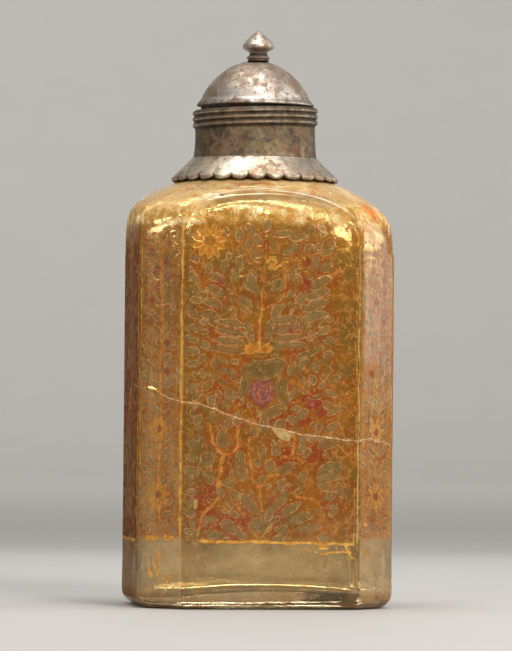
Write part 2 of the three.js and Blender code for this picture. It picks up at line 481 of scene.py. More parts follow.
def add_sprig(painting, points, pairs, length, width, rng, stem_width=0.7, opening=48, reach=0.92):
    """A stem with leaves to both sides, which get smaller towards its tip."""
    painting.add_stem(points, stem_width)
    for i in range(pairs):
        share = 0.14 + (reach - 0.14) * i / max(pairs - 1, 1)
        place, heading = along_stem(points, share)
        size = length * (1.1 - 0.45 * share) * rng.uniform(0.85, 1.15)
        for side in (-1, 1):
            if rng.random() < 0.08:
                continue
            angle = heading + side * (opening + rng.uniform(-9, 9))
            middle = stepped(place, angle, size / 2 + 0.5)
            width_here = width * rng.uniform(0.85, 1.15)
            painting.add_leaf(middle, angle, size, width_here, side * 0.12 * size, rng.random())


def stepped(place, angle, far):
    """The place that lies some way from another, at an angle in degrees."""
    turn = math.radians(angle)
    return place[0] + math.cos(turn) * far, place[1] + math.sin(turn) * far


def add_fan(painting, root, spread, length, width, rng, gap=1.2):
    """Leaves that stand out round one place, at the angles given."""
    for angle in spread:
        size = length * rng.uniform(0.88, 1.12)
        middle = stepped(root, angle, gap + size / 2)
        painting.add_leaf(middle, angle, size, width, rng.uniform(-0.3, 0.3), rng.random())


def add_scatter(painting, centre, size, count, length, width, rng):
    """Loose small leaves over an oval patch, evenly spaced by the golden angle."""
    golden_angle = 2.39996
    for i in range(count):
        turn = i * golden_angle
        far = math.sqrt((i + 0.5) / count)
        place = (centre[0] + size[0] * far * math.cos(turn), centre[1] + size[1] * far * math.sin(turn))
        painting.add_leaf(place, rng.uniform(0, 180), length * rng.uniform(0.8, 1.25),
                          width * rng.uniform(0.8, 1.2), rng.uniform(-0.2, 0.2), rng.random())


def paint_front(painting):
    rng = np.random.default_rng(11)
    painting.add_panel(-24.5, 24.5, 17.2, 99.0)
    painting.olive = eased(painting.u, -19.4, -22.2) * 0.6 - eased(painting.u, 16.6, 18.6)
    painting.add_stains("olive", (
        (-12.0, 88.5, 6.5, 3.6, 0.9), (-19.5, 62.0, 3.0, 8.0, 0.6), (-3.0, 61.0, 6.0, 3.5, 0.6),
        (-19.0, 41.0, 2.5, 7.0, 0.7), (2.0, 52.0, 6.0, 3.0, 0.5), (-7.0, 80.0, 5.0, 6.0, 0.4),
        (6.0, 23.0, 6.0, 4.0, 0.4), (0.0, 97.0, 16.0, 3.0, 0.4),
    ))
    painting.add_stains("flush", (
        (-17.0, 26.5, 3.4, 8.0, 1.0), (-10.0, 22.0, 6.0, 3.4, 0.8), (2.5, 24.0, 3.0, 6.0, 0.7),
        (3.6, 38.5, 3.6, 4.2, 1.0), (12.6, 40.6, 3.4, 4.0, 0.9), (15.0, 28.0, 4.5, 5.0, 0.55),
        (-12.0, 47.0, 7.0, 3.0, 0.6), (6.0, 48.4, 9.0, 2.8, 0.8), (11.5, 54.0, 5.0, 5.0, 0.8),
        (-12.5, 57.0, 5.0, 6.0, 0.6), (6.0, 67.0, 5.0, 4.0, 0.7), (-13.0, 67.5, 6.0, 4.5, 0.55),
        (4.5, 72.0, 3.0, 4.0, 0.8), (-15.0, 76.0, 4.0, 5.0, 0.6), (-13.6, 83.4, 2.2, 2.6, 0.9),
        (9.0, 84.0, 3.5, 3.0, 0.8), (9.5, 92.0, 4.5, 5.0, 0.7), (-1.6, 92.5, 1.4, 2.6, 0.9),
    ))
    painting.add_losses((
        [(22.25, 97.0), (22.75, 97.0), (22.75, 5.0), (22.25, 5.0)],
        [(-0.4, 46.6), (5.4, 45.3), (4.7, 43.2), (3.2, 43.5), (1.4, 44.2)],
        [(-20.2, 27.2), (-19.6, 27.9), (-19.0, 27.4), (-18.8, 26.2), (-19.3, 25.4), (-20.0, 25.9)],
    ))
    painting.add_lines((
        (21.7, 6.0, 21.7, 97.0, 0.3), (-18.5, 17.5, 21.6, 17.1, 0.75), (-21.0, 100.2, 9.0, 100.7, 0.3),
        (8.0, 15.6, 12.0, 15.0, 0.5), (13.0, 14.6, 20.5, 14.9, 0.6), (12.4, 16.3, 14.8, 16.0, 0.7),
        (15.2, 13.6, 16.8, 12.2, 0.5), (16.8, 16.2, 18.6, 13.2, 0.4), (19.4, 16.4, 20.8, 13.4, 0.7),
    ))

    # The lower plant: a heart of broad leaves, a forked stem and arcs to both sides
    add_fan(painting, (-3, 19.4), (52, 92, 131), 4.2, 3.2, rng, gap=0.4)
    painting.add_stems((
        (0.6, (-8.6, 27.5), (-6.4, 22.5), (-2.8, 18.4), (0.4, 22.6)),
        (0.9, (-2.7, 25.4), (-2.8, 29.0), (-3.0, 31.0)),
        (0.7, (-3.0, 31.0), (-4.9, 34.0), (-5.8, 38.5), (-5.9, 43.5)),
        (0.7, (-3.0, 31.0), (-1.0, 33.6), (1.6, 34.4)),
        (0.6, (-19.2, 18.6), (-17.4, 24.5), (-13.6, 28.4)),
        (1.2, (-13.4, 31.5), (-13.3, 36.0), (-12.3, 39.2)),
        (0.8, (-12.3, 39.2), (-14.9, 42.6), (-16.6, 47.6)),
        (0.9, (-12.6, 38.6), (-9.0, 41.5), (-8.9, 46.6)),
        (0.5, (15.6, 19.2), (13.8, 24.6), (10.6, 28.2), (6.0, 29.2)),
        (0.5, (9.6, 31.0), (9.3, 35.4), (7.4, 38.6), (3.0, 39.4)),
        (0.6, (5.2, 39.3), (5.9, 43.6), (5.4, 46.0)),
        (0.5, (20.6, 39.2), (17.2, 42.2), (15.6, 43.4)),
    ))
    for i, tilt in enumerate((10, 20, 44, 58)):
        painting.add_leaf((9.6 - 2.3 * i, 21.0 + 2.4 * i), tilt, 7.4 - 0.5 * i, 2.1, 0.25, rng.random())
    painting.add_leaves(((3.6, 36.0, 32, 6.0, 3.0, 0.2, 0.4), (2.2, 31.4, 52, 5.2, 2.2, 0.2, 0.6)))
    add_fan(painting, (10.4, 34.6), (-38, -6, 22), 5.6, 2.3, rng, gap=1.4)
    painting.add_leaves((
        (14.6, 42.9, 24, 5.6, 3.0, 0.1, 0.3), (7.6, 43.4, 108, 3.6, 2.0, 0.1, 0.5),
        (-10.6, 21.2, 158, 5.6, 2.6), (-5.7, 27.0, 128, 7.0, 2.8), (-9.6, 24.4, 150, 3.4, 1.8),
        (-16.6, 38.4, 60, 4.4, 3.2), (-16.2, 33.6, 130, 3.8, 2.0), (-8.0, 35.0, 100, 4.8, 3.0),
        (-0.2, 36.6, 88, 3.6, 2.2), (-2.3, 39.6, 96, 5.6, 2.0), (-12.6, 43.6, 92, 4.8, 2.8),
        (-8.0, 19.0, 168, 3.4, 1.8), (-2.4, 33.0, 90, 2.4, 2.6), (2.8, 20.4, 70, 3.2, 3.4),
        (-18.6, 43.0, 75, 4.0, 1.8), (16.0, 25.6, 76, 4.0, 1.6), (17.6, 30.6, 104, 4.4, 1.7),
        (17.2, 36.2, 66, 3.8, 1.6),
    ), rng)

    # The middle: a round flower held by large leaves, and clusters of small ones to its sides
    painting.add_bloom((-2.7, 55.4), 3.5, 9, 0.1, 0.4, 1.0)
    painting.add_leaves((
        (-2.4, 62.0, 8, 12.0, 4.6, -1.2, 0.1), (2.8, 56.0, 96, 7.4, 3.4, 0.7, 0.2),
        (-7.3, 57.0, 78, 7.0, 2.6, -0.6, 0.2), (0.4, 50.6, 24, 7.6, 2.6, -0.5, 0.3),
    ))
    painting.add_stems((
        (0.5, (1.4, 60.0), (5.6, 58.0), (10.6, 55.0)),
        (0.4, (1.8, 51.0), (5.6, 53.0), (9.6, 53.6)),
    ))
    add_scatter(painting, (-14.0, 58.0), (4.6, 6.6), 11, 3.0, 1.7, rng)
    add_scatter(painting, (11.8, 57.6), (5.6, 6.2), 12, 2.9, 1.8, rng)
    painting.add_bloom((10.6, 52.4), 1.5, 5, 0.2)
    painting.add_bloom((8.4, 53.9), 0.9, 5, 0.2)
    painting.add_leaves((
        (16.0, 51.0, 26, 4.2, 1.9, 0.1, 0.7), (15.8, 46.6, 32, 4.2, 1.9, 0.1, 0.7),
        (-10.4, 54.2, 30, 4.2, 1.9, 0.1, 0.7),
    ))

    # The upper plant: a tuft at the root, long low leaves, and a stem with buds and rising leaves
    for tilt in (-8, 14, 40, 90, 136, 160, 178, 200):
        turn = math.radians(tilt)
        painting.add_petal((-3.8 + 1.9 * math.cos(turn), 66.3 + 1.2 * math.sin(turn)), tilt, 3.4, 0.9)
    for side in (-1, 1):
        for i in range(4):
            length = 10.2 - 0.9 * i
            middle = (-3.8 + side * (3.0 + length / 2), 66.6 + 2.3 * i + 0.5 * side)
            painting.add_leaf(middle, 90 - side * (86 - 3 * i), length, 1.9, side * 0.5, rng.random())
        painting.add_leaf((-3.6 + side * 2.6, 71.0), 90 - side * 12, 6.2, 1.7, 0.1, 0.1)
    painting.add_stems((
        (0.9, (-3.7, 66.6), (-3.2, 73.0), (-2.8, 80.5)),
        (0.3, (-2.8, 80.0), (-2.3, 87.0), (-1.8, 93.5)),
        (0.5, (-3.0, 76.5), (2.4, 80.2), (3.0, 89.0)),
        (0.5, (-3.1, 74.8), (-8.4, 78.4), (-11.2, 85.0)),
        (0.4, (-2.4, 85.0), (2.0, 88.4), (6.8, 90.0)),
    ))
    for i in range(4):
        painting.add_leaf((10.6 + 0.5 * i, 75.0 + 2.9 * i), 16 + 4 * i, 7.8 - 0.5 * i, 2.2, 0.4, rng.random())
        painting.add_leaf((-16.2 + 0.6 * i, 75.0 + 3.1 * i), 168 - 5 * i, 5.4, 2.3, -0.3, rng.random())
    painting.add_leaves((
        (-7.4, 78.0, 120, 5.2, 2.6), (-6.0, 83.6, 96, 4.4, 3.2), (0.6, 76.0, 70, 4.6, 2.4),
        (1.2, 83.0, 66, 3.6, 2.8), (-8.8, 88.6, 110, 4.8, 1.9), (-4.6, 90.4, 100, 3.4, 2.4),
        (4.6, 85.6, 84, 4.6, 1.9), (4.8, 92.0, 20, 5.2, 1.9), (2.2, 96.4, 8, 4.6, 1.8),
        (-1.8, 98.2, 80, 3.4, 1.6), (10.8, 88.6, 64, 3.6, 2.2), (13.8, 87.6, 30, 3.4, 2.2),
        (-12.6, 88.0, 84, 3.6, 1.8), (-16.6, 87.0, 84, 2.6, 1.7),
    ), rng, 0.2)
    for place in ((4.9, 77.7), (7.8, 77.2), (5.3, 74.0), (2.0, 79.9), (7.6, 73.4), (-10.6, 75.8)):
        painting.add_leaf(place, rng.uniform(0, 180), 2.1, 1.7, 0, rng.random())
    painting.add_star((-16.6, 94.0), 4.6, 11, 1.3, 6)
    painting.add_star((-0.4, 88.6), 1.7, 6, 0.8, 0)
    for *place, radius in (
        (-14.0, 83.4, 0.9), (8.8, 83.6, 0.8), (4.6, 71.8, 0.7), (8.5, 88.8, 0.9), (-15.2, 31.0, 0.8),
        (-6.6, 23.0, 0.9), (-0.6, 27.6, 0.6), (10.8, 39.0, 0.9), (-9.4, 17.9, 0.8), (12.4, 50.4, 0.9),
    ):
        painting.add_bloom(place, radius, 4, 0.2)
    for left, right, bottom, top, spacing, heading, widest, chance in (
        (-20.5, 17.0, 18.6, 47.0, 2.5, lambda u, v: math.atan2(v - 15, (u + 3) * 1.5), 2.3, 0.8),
        (-20.0, 16.8, 48.0, 64.5, 2.3, lambda u, v: math.atan2(v - 56, u + 3) + 0.6, 2.2, 0.85),
        (-20.5, 16.0, 65.0, 97.5, 2.3, lambda u, v: math.atan2((v - 62) * 0.5, u + 3), 2.1, 0.88),
    ):
        painting.fill(left, right, bottom, top, spacing, heading, rng, widest, chance)


def paint_cut(painting, seed, inner, upper_warmth, sprig=True):
    """A slim upright plant on a cut corner, and on most of them a small sprig on the clear glass below.

    The thin border runs along the outer edge, and a bold one along the inner edge where inner is 1.
    """
    rng = np.random.default_rng(seed)
    painting.add_panel(-9.0, 9.0, 18.0, 98.5)
    painting.warm = eased(painting.v, 50, 70) * upper_warmth + 0.08
    painting.add_lines([(-inner * 6.6, 30.0, -inner * 6.6, 97.0, 0.45)])
    if inner > 0:
        painting.add_lines([(6.7, 18.0, 6.7, 98.0, 0.8)])
        painting.add_losses([[(-4.7, 56.5), (-4.2, 56.6), (-2.0, 54.5), (-2.4, 54.0), (-3.6, 55.0)]])
    if sprig:
        painting.add_lines((
            (-3.6, 18.3, -0.6, 18.1, 1.3), (2.0, 18.3, 4.0, 18.1, 1.3), (-0.9, 11.0, -0.3, 13.6, 1.3),
            (-2.3, 8.2, -2.9, 10.6, 1.1), (-0.6, 8.6, 0.4, 10.4, 0.8), (1.3, 7.6, 2.3, 9.0, 0.7),
            (2.6, 7.3, 3.8, 7.6, 0.8),
        ))
    else:
        painting.add_lines([(-5.2, 21.7, -4.6, 21.7, 1.1)])
        painting.add_losses([[(-1.1, 60.5), (-0.6, 60.5), (-2.8, 46.0), (-3.3, 46.0)]])
    painting.add_stains("flush", [(rng.uniform(-2, 2), height, 3.4, 4.4, rng.uniform(0.4, 0.8))
                                  for height in (24.0, 31.0, 44.0, 62.0, 75.0, 88.0)])
    stem = [(0.3, 22.5), (-0.4, 34.0), (0.4, 46.0), (-0.2, 58.0), (0.3, 72.0), (-0.1, 84.0), (0.2, 92.0)]
    add_sprig(painting, stem, 17, 4.2, 1.5, rng, 0.95 if sprig else 0.75, 52, 0.95)
    for height, radius in ((29.2, 3.6), (45.6, 3.2)):
        painting.add_star((-0.3, height), radius, 9, 1.15 if sprig else 0.75, rng.uniform(0, 40))
        painting.add_bloom((-0.3, height), 0.8, 5, 0.2, 0, 0.6)
    for height in (60.5, 68.0, 73.5, 79.0, 82.0):
        place = (rng.choice((-1, 1)) * rng.uniform(1.0, 3.4), height)
        painting.add_bloom(place, 0.9, 4, 0.3, 0, rng.uniform(0, 0.6))
    for i in range(5):
        side = -1 if i % 2 else 1
        painting.add_bloom((side * rng.uniform(1.2, 3.0), 84.5 + 2.2 * i), 0.85, 4, 0.2, 0, 0.8)
    chance = 0.9 if sprig else 0.5
    painting.fill(-5.6, 5.6, 20.5, 96.0, 1.9, lambda u, v: math.atan2(1.3, u), rng, 1.5, chance)


def paint_side(painting, seed):
    """A tall plant on a narrow face."""
    rng = np.random.default_rng(seed)
    painting.add_panel(-17.0, 17.0, 17.4, 99.0)
    painting.add_lines([(-13.6, 17.3, 13.6, 17.3, 0.7), *((u, 12.0, u, 96.0, 0.6) for u in (-14.8, 14.8))])
    painting.add_stains("flush", [(rng.uniform(-11, 11), 22 + 8.4 * i, 5, 4, rng.uniform(0.5, 0.9))
                                  for i in range(9)])
    for base in (20.0, 59.0):
        stem = [(0, base), (0.8, base + 12), (-0.6, base + 22), (0.2, base + 31)]
        add_sprig(painting, stem, 7, 8.2, 2.6, rng, 1.0, 44, 0.86)
        for side in (-1, 1):
            arc = [(side * u, base + v) for u, v in ((0, 2), (6.5, 9), (9.6, 19), (8.4, 27))]
            add_sprig(painting, arc, 4, 4.8, 2.0, rng, 0.7, 50, 0.8)
            painting.add_bloom((side * 8.3, base + 29.4), 2.1, 8, 0.2)
        painting.add_star((0.2, base + 33.6), 3.2, 9, 1.2, 0)
    painting.fill(-12.8, 12.8, 19.0, 96.5, 2.7, lambda u, v: math.atan2(1.3, u), rng, 2.3, 0.75)


def paint_back(painting):
    """Two rows of plants, simpler than the front's."""
    rng = np.random.default_rng(31)
    painting.add_panel(-24.5, 24.5, 17.2, 99.0)
    painting.add_lines([(-20.0, 17.2, 20.0, 17.2, 0.7), *((u, 8.0, u, 97.0, 0.6) for u in (-21.9, 21.9))])
    painting.add_stains("olive", [(rng.uniform(-17, 17), 24 + 11 * i, 6, 5, 0.7) for i in range(7)])
    painting.add_stains("flush", [(rng.uniform(-17, 17), 21 + 5.4 * i, 6, 4, rng.uniform(0.5, 0.9))
                                  for i in range(14)])
    for base in (20.0, 61.0):
        stem = [(0, base), (-0.8, base + 12), (0.8, base + 22), (0, base + 31)]
        add_sprig(painting, stem, 6, 8.6, 3.0, rng, 1.1, 50, 0.84)
        painting.add_star((0, base + 33.6), 4.0, 10, 1.5, 0)
        add_fan(painting, (0, base), (10, 28, 152, 170), 9.0, 2.4, rng)
        for side in (-1, 1):
            arc = [(side * u, base + v) for u, v in ((2, 3), (11, 11), (15.5, 21), (13.4, 29))]
            add_sprig(painting, arc, 5, 5.8, 2.4, rng, 0.8, 52, 0.8)
            painting.add_bloom((side * 13.0, base + 32.0), 2.7, 9, 0.2)
            painting.add_star((side * 17.2, base + 4.0), 2.4, 7, 1.1, 20)
    painting.fill(-20.0, 20.0, 19.0, 96.5, 2.7, lambda u, v: math.atan2(1.3, u * 0.3), rng, 2.3, 0.75)


PAINTERS = {
    FRONT: paint_front,
    BACK: paint_back,
    LEFT: lambda painting: paint_side(painting, 41),
    RIGHT: lambda painting: paint_side(painting, 43),
    LEFT_CUT: lambda painting: paint_cut(painting, 51, 1, 0.5),
    RIGHT_CUT: lambda painting: paint_cut(painting, 53, -1, 0.2, sprig=False),
    RIGHT_BACK_CUT: lambda painting: paint_cut(painting, 55, 1, 0.7),
    LEFT_BACK_CUT: lambda painting: paint_cut(painting, 57, -1, 0.7),
}

# The old crack, by distance round the body from the middle of the front and height
crack_route = [
    (-46.0, 57.8), (-37.8, 56.6), (-33.2, 56.3), (-30.9, 55.2), (-28.3, 53.9), (-23.7, 52.9), (-18.9, 52.4),
    (-15.6, 51.5), (-11.6, 49.9), (-7.7, 48.6), (-4.0, 47.4), (0.0, 46.6), (5.5, 45.3), (9.8, 44.6),
    (15.9, 44.0), (22.6, 43.4), (26.5, 43.9), (30.5, 43.6), (34.9, 42.9), (38.0, 41.4), (47.0, 38.6),
]
crack_groove, crack_width = 0.06, 0.3
# Flakes lost beside the crack: distance round the body, height, radius and depth
flakes = [(-33.0, 55.2, 1.5, 0.35), (-34.6, 56.2, 0.8, 0.3), (2.6, 45.2, 1.5, 0.12), (4.6, 44.9, 1.0, 0.1),
          (-14.6, 51.0, 0.5, 0.3), (14.6, 43.6, 0.7, 0.15)]


def unrolled(points):
    """For points on the outside: the face each is on, its place along that face, and the distance round."""
    best = np.full(len(points), 1e9)
    index = np.zeros(len(points), int)
    u = np.zeros(len(points))
    for k, face in enumerate(body_faces):
        gap = face.distance - points[:, :2] @ face.out
        take = gap < best
        best = np.where(take, gap, best)
        index = np.where(take, k, index)
        u = np.where(take, points[:, :2] @ face.along - face.middle, u)
    start = {FRONT: 0.0}
    for k, step in ((RIGHT_CUT, 1), (RIGHT, 1), (RIGHT_BACK_CUT, 1), (BACK, 1),
                    (LEFT_CUT, -1), (LEFT, -1), (LEFT_BACK_CUT, -1)):
        before = (k - step) % 8
        start[k] = start[before] + step * (body_faces[before].half + body_faces[k].half)
    return index, u, u + np.array([start[k] for k in range(8)])[index]


def height_over_crack(round_, z):
    """The signed distance from the crack's line, which runs on a little past the cut corners."""
    along, heights = np.array(crack_route).T
    place = np.stack([round_, np.zeros(len(z)), np.zeros(len(z))], axis=1)
    line = np.interp(round_, along, heights) + ripples(place, (0.16, 3.0, 71), (0.08, 1.2, 72))
    slope = np.interp(round_, (along[1:] + along[:-1]) / 2, np.diff(heights) / np.diff(along))
    return np.where((round_ > along[0]) & (round_ < along[-1]), (z - line) / np.hypot(1, slope), FAR)


def store(mesh, name, values):
    made = mesh.attributes.new(name, "FLOAT", "POINT")
    made.data.foreach_set("value", np.asarray(values, np.float32))


def make_glass():
    outside, inside = glass_rings()
    points, faces = skin([*outside, *inside])
    count = len(angles)
    outer = np.arange(len(points)) < len(outside) * count
    z = points[:, 2]
    on_wall = outer & (z > foot_round * 0.6) & (z < shoulder_start + shoulder_rise * 0.95)
    index, u, round_ = unrolled(points)

    fields = {name: np.full(len(points), start) for name, start in FIELDS.items()}
    for k, paint in PAINTERS.items():
        here = on_wall & (index == k)
        painting = Painting(u[here], z[here], 60 + k)
        paint(painting)
        for name in FIELDS:
            fields[name][here] = getattr(painting, name)

    # Blown glass is never quite flat, and less so inside. It is cut back so that it stays in its box.
    crack = np.where(on_wall, height_over_crack(round_, z), FAR)
    crack *= 1 + 0.8 * eased(np.abs(round_), 20, 24)
    out = points * [1, 1, 0]
    out /= np.maximum(np.linalg.norm(out, axis=1), 1e-6)[:, None]
    wall = eased(z, 5, 12) * (1 - eased(z, 104, 110))
    cut_back = 0.08
    shift = np.where(outer, ripples(points, (0.05, 24, 3), (0.02, 9, 4)) - cut_back,
                     ripples(points, (0.22, 27, 5), (0.08, 11, 6))) * wall
    shift -= np.where(outer, crack_groove * np.exp(-(crack / crack_width) ** 2), 0)
    for at, height, radius, depth in flakes:
        near = np.hypot(round_ - at, z - height) / radius
        shift -= np.where(on_wall, depth * np.clip(1 - near ** 2, 0, 1), 0)
    points = points + out * shift[:, None]

    made = mesh_object("painted_glass_bottle", points, faces)
    edge = np.array([face.half for face in body_faces])[index] - np.abs(u)
    narrow = (index == LEFT) | (index == RIGHT)
    fields |= {"crack": crack, "height": points[:, 2], "round": round_,
               "side": np.where(on_wall & narrow, eased(edge, -0.2, 0.8), 0)}
    for name, values in fields.items():
        store(made.data, name, values)
    made.data.materials.append(painted_glass())
    made.data.materials.append(bare_glass())
    slots = np.zeros(len(faces), np.int32)
    slots[(len(outside) - 1) * count:] = 1
    slots[:(len(underside_rings()) - 1) * count] = 1
    made.data.polygons.foreach_set("material_index", slots)
    return made


# The neck mount

def mount_ring(radius, z, scallop=0.0, swell=0.0, count=petals * 16):
    angle = np.arange(count) * 2 * math.pi / count
    wander = 0.16 * np.sin(5 * angle + 1.0) + 0.12 * np.sin(11 * angle + 2.0)
    lobe = np.abs(np.sin((angle * petals + wander) / 2))
    uneven = 1 + 0.28 * np.sin(3 * angle + 0.7) + 0.22 * np.sin(7 * angle)
    cut = scallop * petal_depth * (1 - lobe ** 0.7) * math.sqrt(0.5) * uneven
    r = radius - cut + swell * petal_swell * (lobe ** 0.6 - 0.8) * uneven
    foot, top = skirt_foot + skirt_rise, skirt_foot + skirt_rise + collar_height
    x = r * np.cos(angle)
    z = z + cut + x * band_lean * float(eased(z, foot, top))
    return np.stack([x + neck_axis, r * np.sin(angle), z], axis=1)


def make_mount():
    collar_base = collar_outer + collar_spread
    collar_foot = skirt_foot + skirt_rise
    band_foot = collar_foot + collar_height
    band_top = band_foot + reeds * reed_pitch
    cone_foot = skirt_foot + skirt_hem
    rings, dirt_and_shade, stain = [], [], []

    # Each ring keeps how dark it is with soiling and painted shade, and how tarnished it is
    def add(radius, z, grime_and_shade, tarnish, *petal):
        rings.append(mount_ring(radius, z, *petal))
        dirt_and_shade.append(grime_and_shade)
        stain.append(tarnish)

    # The skirt, its hem darkened by soiling and by painted shade
    add(skirt_radius - 0.25, skirt_foot + 0.02, 0.6, 0.0, 1)
    add(skirt_radius, skirt_foot + 0.25, 0.3, 0.0, 1)
    for share in np.linspace(1, 0, 30):
        radius = collar_base + 0.3 + (skirt_radius - collar_base - 0.3) * share
        swell = 1.6 * share ** 5 * (1 - share) ** 0.4 * 2
        add(radius, collar_foot - (collar_foot - cone_foot) * share, 0.0, 0.0, share ** 3.2, swell)

    # The collar, darkened by soiling and painted shade where it meets the skirt and the reeds
    add(collar_base + 0.28, collar_foot + 0.14, 0.0, 0.0)
    add(collar_base - 0.02, collar_foot + 0.2, 0.4, 0.5)
    for share in np.linspace(0.05, 0.98, 18):
        radius = collar_outer + (collar_spread - 0.15) * (1 - share) ** 2.4
        grime_and_shade = max(0.45 * math.exp(-((share - 0.03) / 0.07) ** 2), math.exp(-((1 - share) / 0.08) ** 2))
        add(radius, collar_foot + collar_height * share, grime_and_shade, 1.0)

    # The band of reeds, bright only along their crests, their flanks darkened and stained as painted shade
    # and soiling
    for i in range(reeds):
        for step in np.linspace(0.03, 0.97, 13):
            crest = math.sin(math.pi * step) ** 0.7
            flank_shade = 1 - math.exp(-((step - 0.4) / 0.13) ** 2)
            add(collar_outer + 0.08 + (reed_proud - 0.08) * crest, band_foot + (i + step) * reed_pitch,
                0.7 * flank_shade ** 1.5, 0.9 * flank_shade)
    add(collar_outer + 0.1, band_top, 0.7, 0.5)
    add(collar_bore + 0.15, band_top, 0.7, 0.5)

    # The inside, down to the underside of the petals, darkened all over by soiling and painted shade
    for z in np.linspace(band_top - 0.2, collar_foot - 0.4, 8):
        add(collar_bore, z, 1.0, 1.0)
    for share in np.linspace(0.1, 1, 9):
        radius = collar_bore + (skirt_radius - sheet - collar_bore) * share
        add(radius, collar_foot - 1.0 + (skirt_foot - collar_foot + 1.0) * share, 1.0, 1.0, share ** 3.2)

    points, faces = skin(rings, loop=True)
    out = (points - [neck_axis, 0, 0]) * [1, 1, 0]
    out /= np.linalg.norm(out, axis=1)[:, None]
    still = 1 - eased(points[:, 2], band_foot - 0.5, band_foot + 0.3)
    dents = ripples(points, (0.06, 10, 8), (0.03, 3.6, 9)) * (0.25 + 0.75 * still)
    made = mesh_object("silver_neck_mount", points + out * dents[:, None], faces)
    count = len(rings[0])
    lobe = np.tile(np.abs(np.sin(np.arange(count) * math.pi / count * petals)), len(rings))
    # A painted shadow along the hem, under the edge of each petal
    hem_shadow = (1 - lobe) ** 2.2 * eased(points[:, 2], skirt_foot + 3.8, skirt_foot + 0.6)
    store(made.data, "dirt_and_shade", np.maximum(np.repeat(dirt_and_shade, count), hem_shadow * 0.9))
    store(made.data, "stain", np.repeat(stain, count))
    made.data.materials.append(tarnished_silver())
    return made


# The lid and its knob

def turned(name, profile, centre, segments, dent, seed, recesses, stain=0.0):
    """A profile of radius and height turned round an upright axis, with its ends on the axis.

    Soiling and painted shade darken the recesses, each given as a height and a width.
    """
    angle = np.arange(segments) * 2 * math.pi / segments
    rings = [np.stack([centre[0] + r * np.cos(angle), centre[1] + r * np.sin(angle),
                       np.full(segments, centre[2] + z)], axis=1) for r, z in profile]
    points, faces = skin(rings)
    out = points - centre
    out /= np.maximum(np.linalg.norm(out, axis=1), 1e-6)[:, None]
    dents = ripples(points, (dent, 8, seed), (dent / 2, 3.4, seed + 1))
    made = mesh_object(name, points + out * dents[:, None], faces)
    height = points[:, 2] - centre[2]
    store(made.data, "dirt_and_shade", sum(np.exp(-((height - z) / wide) ** 2) for z, wide in recesses))
    store(made.data, "stain", np.full(len(points), stain))
    made.data.materials.append(worn_silver())
    return made


def make_lid():
    lid_foot = lid_low[2] + sleeve_length
    bore = sleeve_radius - lid_sheet
    top = (1 - (knob_seat / lid_radius) ** 2) ** (1 / crown_power)
    shares = top * np.sin(np.linspace(0, math.pi / 2, 44))
    crown = [(s, math.sqrt(1 - s ** crown_power)) for s in shares]
    outside = [(lid_radius * r + lip_flare * math.exp(-s * crown_height / flare_height),
                lip_height + crown_height * s) for s, r in crown]
    inside = [((lid_radius - lid_sheet) * r, lip_height + (crown_height - lid_sheet) * s)
              for s, r in crown[::3]]
    inside = [p for p in inside if p[0] < bore][::-1]
    lip = lid_radius + lip_flare
    seat = outside[-1][1] + 0.02
    chamfer = 0.15
    profile = [
        (0.4, inside[0][1]), *inside, (bore, 0.2),
        (bore, chamfer - sleeve_length), (bore + chamfer, -sleeve_length),
        (sleeve_radius - chamfer, -sleeve_length), (sleeve_radius, chamfer - sleeve_length),
        (sleeve_radius, 0.0), (lip - chamfer, 0.0), (lip, chamfer), (lip, 0.42), (lip - 0.12, 0.6),
        *outside[1:], (knob_seat - 0.5, seat), (0.3, seat),
    ]
    # Darkened inside the sleeve, at the lip and at the knob's seat by soiling and painted shade
    recesses = ((-sleeve_length / 2, 1.6), (0.9, 0.3), (outside[-1][1], 0.35))
    return turned("silver_domed_lid", profile, (neck_axis, 0, lid_foot), 144, 0.05, 14, recesses, 0.2)


def make_knob():
    room_for_dents = 0.04
    height = knob_high[2] - knob_low[2] - room_for_dents
    radius = (knob_high[0] - knob_low[0]) / 2
    shape = [(0.66, 0), (0.68, 0.035), (0.62, 0.06), (0.7, 0.09), (0.74, 0.125), (0.68, 0.16), (0.59, 0.2),
             (0.56, 0.245), (0.6, 0.29), (0.73, 0.345), (0.91, 0.39), (0.985, 0.43), (1.0, 0.48),
             (0.97, 0.535), (0.9, 0.59), (0.77, 0.675), (0.63, 0.74), (0.5, 0.8), (0.35, 0.865),
             (0.21, 0.925), (0.09, 0.975), (0.02, 1.0)]
    profile = [(r * radius, z * height) for r, z in curve_through(shape, 4)]
    centre = ((knob_low[0] + knob_high[0]) / 2, 0, knob_low[2])
    # Darkened near its foot by soiling and painted shade
    return turned("silver_lid_knob", profile, centre, 72, 0.02, 21, ((0.1, 0.35), (1.8, 0.5)))


# Materials

def colour(red, green, blue):
    """A colour given as on a screen, from 0 to 255, in the renderer's linear numbers."""
    shares = [c / 255 for c in (red, green, blue)]
    return tuple(c / 12.92 if c <= 0.04 else ((c + 0.055) / 1.055) ** 2.4 for c in shares) + (1.0,)


class Wire:
    """A node's output. Python's own signs on it add Math nodes."""

    def __init__(self, finish, socket):
        self.finish, self.socket = finish, socket

    def math(self, operation, a, b=0.0):
        return self.finish.node("ShaderNodeMath", {"operation": operation}, {0: a, 1: b})

    def __abs__(self):
        return self.math("ABSOLUTE", self)


for sign, operation in (("add", "ADD"), ("sub", "SUBTRACT"), ("mul", "MULTIPLY"), ("truediv", "DIVIDE")):
    setattr(Wire, f"__{sign}__", lambda a, b, how=operation: a.math(how, a, b))
    setattr(Wire, f"__r{sign}__", lambda a, b, how=operation: a.math(how, b, a))


